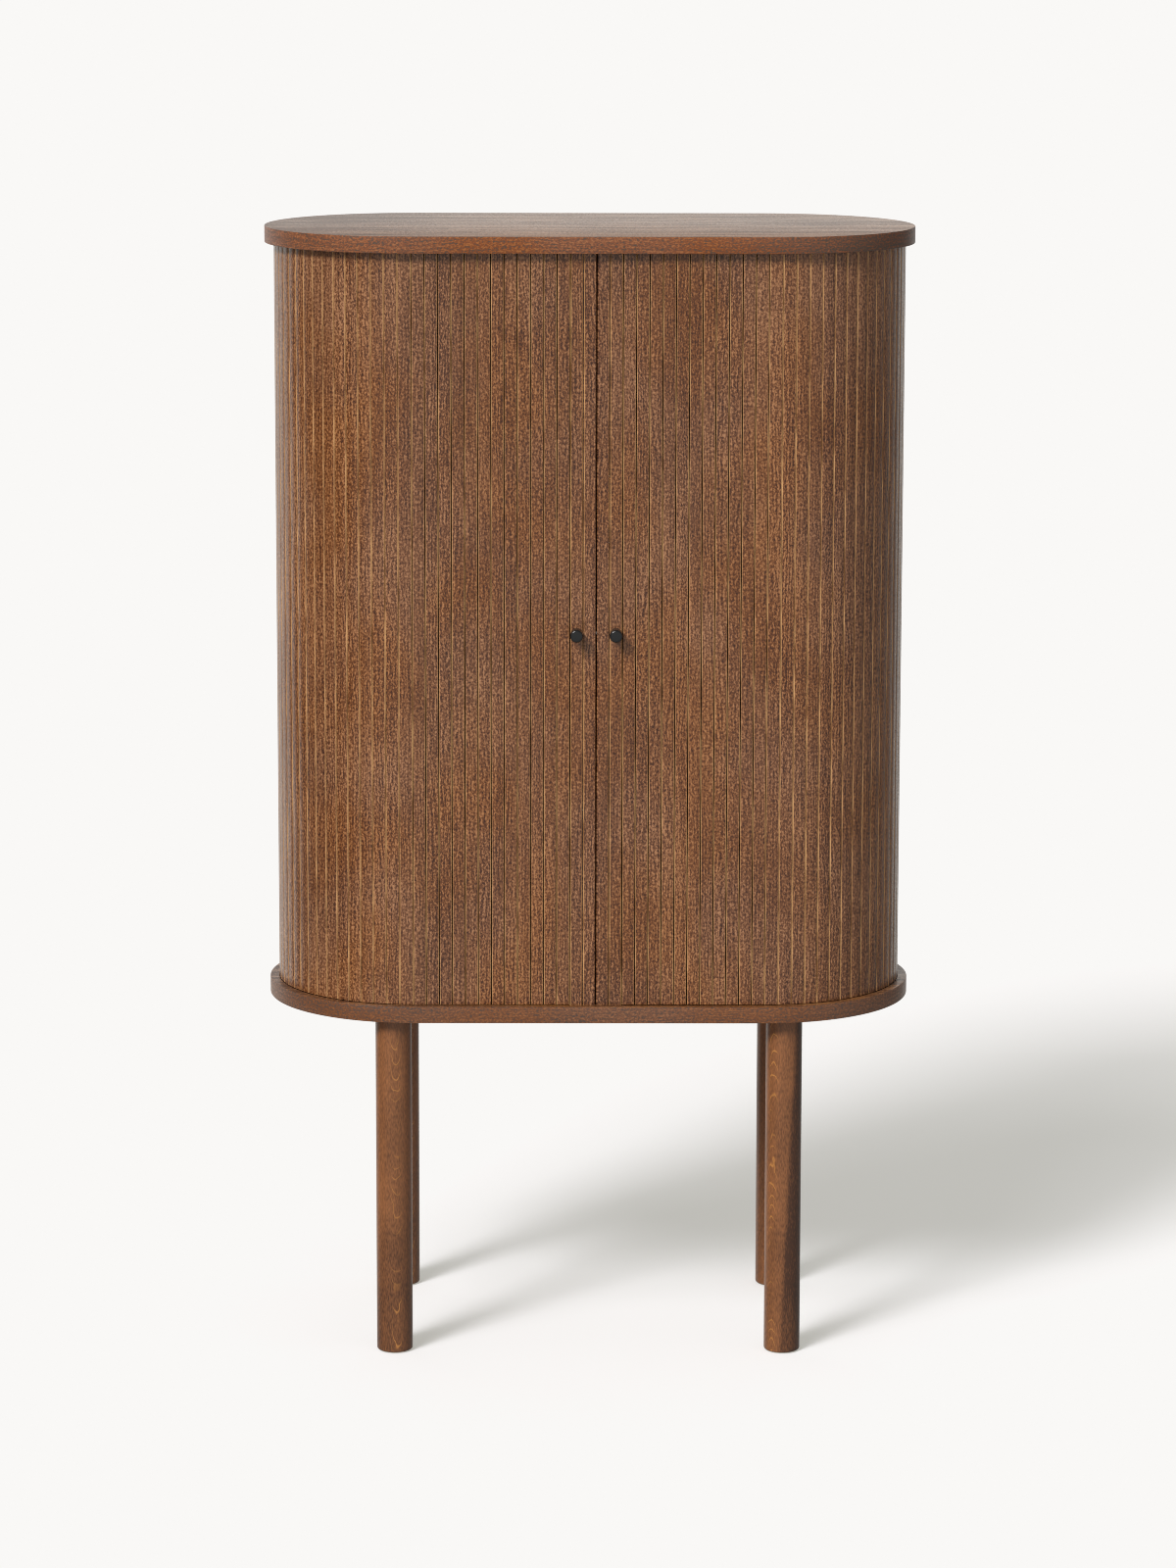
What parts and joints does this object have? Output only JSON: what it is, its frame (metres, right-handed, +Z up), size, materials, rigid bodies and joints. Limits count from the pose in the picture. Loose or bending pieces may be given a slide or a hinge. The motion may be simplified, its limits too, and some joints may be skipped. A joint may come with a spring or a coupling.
{
  "type": "highboard",
  "caption": "Tall cabinet with half-round ends on round legs, closed by two tambour doors that slide round the ends, with shelves inside.",
  "frame": {"origin": "on the floor, under the centre of the whole object's bounding box, knobs included", "axes": "+X to the right seen from the front, +Y from the front to the back, +Z up"},
  "size_m": [0.8644, 0.4118, 1.5],
  "materials": {
    "stained_veneer": "brown stained open-grain veneer, satin lacquer",
    "stained_beech": "brown stained beech, satin lacquer",
    "black_lacquer": "matte black lacquer",
    "zinc_steel": "bright zinc plate",
    "grey_plastic": "matte moulded",
    "backing_canvas": "woven cotton canvas, glued"
  },
  "bodies": {
    "carcass": {"top_plate": "stained_veneer", "bottom_plate": "stained_veneer", "back_panel": "stained_veneer", "left_inner_side": "stained_veneer", "right_inner_side": "stained_veneer", "lower_shelf": "stained_veneer", "upper_shelf": "stained_veneer", "lower_pin_front_left": "zinc_steel", "lower_pin_front_right": "zinc_steel", "lower_pin_rear_left": "zinc_steel", "lower_pin_rear_right": "zinc_steel", "upper_pin_front_left": "zinc_steel", "upper_pin_front_right": "zinc_steel", "upper_pin_rear_left": "zinc_steel", "upper_pin_rear_right": "zinc_steel", "front_left_leg": "stained_beech", "front_right_leg": "stained_beech", "rear_left_leg": "stained_beech", "rear_right_leg": "stained_beech", "front_left_leg_bolt": "zinc_steel", "front_right_leg_bolt": "zinc_steel", "rear_left_leg_bolt": "zinc_steel", "rear_right_leg_bolt": "zinc_steel", "front_left_glide": "grey_plastic", "front_right_glide": "grey_plastic", "rear_left_glide": "grey_plastic", "rear_right_glide": "grey_plastic"},
    "left_lead": {"left_lead_rail": "stained_veneer", "left_knob": "black_lacquer", "left_knob_screw": "zinc_steel", "left_magnet": "zinc_steel"},
    "left_slat_03": {"left_slat_03": "stained_veneer"},
    "left_slat_04": {"left_slat_04": "stained_veneer"},
    "left_slat_05": {"left_slat_05": "stained_veneer"},
    "left_slat_06": {"left_slat_06": "stained_veneer"},
    "left_slat_07": {"left_slat_07": "stained_veneer"},
    "left_slat_08": {"left_slat_08": "stained_veneer"},
    "left_slat_09": {"left_slat_09": "stained_veneer"},
    "left_slat_10": {"left_slat_10": "stained_veneer"},
    "left_slat_11": {"left_slat_11": "stained_veneer"},
    "left_slat_12": {"left_slat_12": "stained_veneer"},
    "left_slat_13": {"left_slat_13": "stained_veneer"},
    "left_slat_14": {"left_slat_14": "stained_veneer"},
    "left_curve": {"left_curved_slats": "stained_veneer"},
    "right_lead": {"right_lead_rail": "stained_veneer", "right_knob": "black_lacquer", "right_knob_screw": "zinc_steel", "right_magnet": "zinc_steel"},
    "right_slat_03": {"right_slat_03": "stained_veneer"},
    "right_slat_04": {"right_slat_04": "stained_veneer"},
    "right_slat_05": {"right_slat_05": "stained_veneer"},
    "right_slat_06": {"right_slat_06": "stained_veneer"},
    "right_slat_07": {"right_slat_07": "stained_veneer"},
    "right_slat_08": {"right_slat_08": "stained_veneer"},
    "right_slat_09": {"right_slat_09": "stained_veneer"},
    "right_slat_10": {"right_slat_10": "stained_veneer"},
    "right_slat_11": {"right_slat_11": "stained_veneer"},
    "right_slat_12": {"right_slat_12": "stained_veneer"},
    "right_slat_13": {"right_slat_13": "stained_veneer"},
    "right_curve": {"right_curved_slats": "stained_veneer"}
  },
  "joints": [
    {"name": "left_door", "type": "slide", "parent": "carcass", "child": "left_lead", "axis": [-1, 0, 0], "range_m": [0, 0.2064]},
    {"name": "left_slat_03_turn", "type": "hinge", "parent": "carcass", "child": "left_slat_03", "pos_m": [-0.1333, 4.14511, 0.98], "axis": [0, 0, -1], "range_deg": [0, 2.75]},
    {"name": "left_slat_04_turn", "type": "hinge", "parent": "carcass", "child": "left_slat_04", "pos_m": [-0.1419, 1.26374, 0.98], "axis": [0, 0, -1], "range_deg": [0, 8.22]},
    {"name": "left_slat_05_turn", "type": "hinge", "parent": "carcass", "child": "left_slat_05", "pos_m": [-0.1505, 0.68664, 0.98], "axis": [0, 0, -1], "range_deg": [0, 13.7]},
    {"name": "left_slat_06_turn", "type": "hinge", "parent": "carcass", "child": "left_slat_06", "pos_m": [-0.1591, 0.43896, 0.98], "axis": [0, 0, -1], "range_deg": [0, 19.17]},
    {"name": "left_slat_07_turn", "type": "hinge", "parent": "carcass", "child": "left_slat_07", "pos_m": [-0.1677, 0.30126, 0.98], "axis": [0, 0, -1], "range_deg": [0, 24.65]},
    {"name": "left_slat_08_turn", "type": "hinge", "parent": "carcass", "child": "left_slat_08", "pos_m": [-0.1763, 0.21371, 0.98], "axis": [0, 0, -1], "range_deg": [0, 30.12]},
    {"name": "left_slat_09_turn", "type": "hinge", "parent": "carcass", "child": "left_slat_09", "pos_m": [-0.1849, 0.15328, 0.98], "axis": [0, 0, -1], "range_deg": [0, 35.6]},
    {"name": "left_slat_10_turn", "type": "hinge", "parent": "carcass", "child": "left_slat_10", "pos_m": [-0.1935, 0.10924, 0.98], "axis": [0, 0, -1], "range_deg": [0, 41.07]},
    {"name": "left_slat_11_turn", "type": "hinge", "parent": "carcass", "child": "left_slat_11", "pos_m": [-0.2021, 0.0759, 0.98], "axis": [0, 0, -1], "range_deg": [0, 46.55]},
    {"name": "left_slat_12_turn", "type": "hinge", "parent": "carcass", "child": "left_slat_12", "pos_m": [-0.2107, 0.04997, 0.98], "axis": [0, 0, -1], "range_deg": [0, 52.02]},
    {"name": "left_slat_13_turn", "type": "hinge", "parent": "carcass", "child": "left_slat_13", "pos_m": [-0.2193, 0.02942, 0.98], "axis": [0, 0, -1], "range_deg": [0, 57.5]},
    {"name": "left_slat_14_turn", "type": "hinge", "parent": "carcass", "child": "left_slat_14", "pos_m": [-0.2279, 0.01292, 0.98], "axis": [0, 0, -1], "range_deg": [0, 62.97]},
    {"name": "left_curve_turn", "type": "hinge", "parent": "carcass", "child": "left_curve", "pos_m": [-0.2322, 0.0059, 0.98], "axis": [0, 0, -1], "range_deg": [0, 65.71]},
    {"name": "right_door", "type": "slide", "parent": "carcass", "child": "right_lead", "axis": [1, 0, 0], "range_m": [0, 0.1892]},
    {"name": "right_slat_03_turn", "type": "hinge", "parent": "carcass", "child": "right_slat_03", "pos_m": [0.1419, 3.78518, 0.98], "axis": [0, 0, 1], "range_deg": [0, 2.75]},
    {"name": "right_slat_04_turn", "type": "hinge", "parent": "carcass", "child": "right_slat_04", "pos_m": [0.1505, 1.14395, 0.98], "axis": [0, 0, 1], "range_deg": [0, 8.22]},
    {"name": "right_slat_05_turn", "type": "hinge", "parent": "carcass", "child": "right_slat_05", "pos_m": [0.1591, 0.61499, 0.98], "axis": [0, 0, 1], "range_deg": [0, 13.7]},
    {"name": "right_slat_06_turn", "type": "hinge", "parent": "carcass", "child": "right_slat_06", "pos_m": [0.1677, 0.38801, 0.98], "axis": [0, 0, 1], "range_deg": [0, 19.17]},
    {"name": "right_slat_07_turn", "type": "hinge", "parent": "carcass", "child": "right_slat_07", "pos_m": [0.1763, 0.26188, 0.98], "axis": [0, 0, 1], "range_deg": [0, 24.65]},
    {"name": "right_slat_08_turn", "type": "hinge", "parent": "carcass", "child": "right_slat_08", "pos_m": [0.1849, 0.18174, 0.98], "axis": [0, 0, 1], "range_deg": [0, 30.12]},
    {"name": "right_slat_09_turn", "type": "hinge", "parent": "carcass", "child": "right_slat_09", "pos_m": [0.1935, 0.12648, 0.98], "axis": [0, 0, 1], "range_deg": [0, 35.6]},
    {"name": "right_slat_10_turn", "type": "hinge", "parent": "carcass", "child": "right_slat_10", "pos_m": [0.2021, 0.08627, 0.98], "axis": [0, 0, 1], "range_deg": [0, 41.07]},
    {"name": "right_slat_11_turn", "type": "hinge", "parent": "carcass", "child": "right_slat_11", "pos_m": [0.2107, 0.0559, 0.98], "axis": [0, 0, 1], "range_deg": [0, 46.55]},
    {"name": "right_slat_12_turn", "type": "hinge", "parent": "carcass", "child": "right_slat_12", "pos_m": [0.2193, 0.03234, 0.98], "axis": [0, 0, 1], "range_deg": [0, 52.02]},
    {"name": "right_slat_13_turn", "type": "hinge", "parent": "carcass", "child": "right_slat_13", "pos_m": [0.2279, 0.01374, 0.98], "axis": [0, 0, 1], "range_deg": [0, 57.5]},
    {"name": "right_curve_turn", "type": "hinge", "parent": "carcass", "child": "right_curve", "pos_m": [0.2322, 0.0059, 0.98], "axis": [0, 0, 1], "range_deg": [0, 60.23]}
  ],
  "couplings": [
    {"joint": "left_slat_03_turn", "follows": "left_door", "rad_per_m": 0.23148},
    {"joint": "left_slat_04_turn", "follows": "left_door", "rad_per_m": 0.69444},
    {"joint": "left_slat_05_turn", "follows": "left_door", "rad_per_m": 1.1574},
    {"joint": "left_slat_06_turn", "follows": "left_door", "rad_per_m": 1.6204},
    {"joint": "left_slat_07_turn", "follows": "left_door", "rad_per_m": 2.0833},
    {"joint": "left_slat_08_turn", "follows": "left_door", "rad_per_m": 2.5463},
    {"joint": "left_slat_09_turn", "follows": "left_door", "rad_per_m": 3.0093},
    {"joint": "left_slat_10_turn", "follows": "left_door", "rad_per_m": 3.4722},
    {"joint": "left_slat_11_turn", "follows": "left_door", "rad_per_m": 3.9352},
    {"joint": "left_slat_12_turn", "follows": "left_door", "rad_per_m": 4.3981},
    {"joint": "left_slat_13_turn", "follows": "left_door", "rad_per_m": 4.8611},
    {"joint": "left_slat_14_turn", "follows": "left_door", "rad_per_m": 5.3241},
    {"joint": "left_curve_turn", "follows": "left_door", "rad_per_m": 5.5556},
    {"joint": "right_slat_03_turn", "follows": "right_door", "rad_per_m": 0.25252},
    {"joint": "right_slat_04_turn", "follows": "right_door", "rad_per_m": 0.75758},
    {"joint": "right_slat_05_turn", "follows": "right_door", "rad_per_m": 1.2626},
    {"joint": "right_slat_06_turn", "follows": "right_door", "rad_per_m": 1.7677},
    {"joint": "right_slat_07_turn", "follows": "right_door", "rad_per_m": 2.2727},
    {"joint": "right_slat_08_turn", "follows": "right_door", "rad_per_m": 2.7778},
    {"joint": "right_slat_09_turn", "follows": "right_door", "rad_per_m": 3.2828},
    {"joint": "right_slat_10_turn", "follows": "right_door", "rad_per_m": 3.7879},
    {"joint": "right_slat_11_turn", "follows": "right_door", "rad_per_m": 4.2929},
    {"joint": "right_slat_12_turn", "follows": "right_door", "rad_per_m": 4.798},
    {"joint": "right_slat_13_turn", "follows": "right_door", "rad_per_m": 5.303},
    {"joint": "right_curve_turn", "follows": "right_door", "rad_per_m": 5.5556}
  ]
}
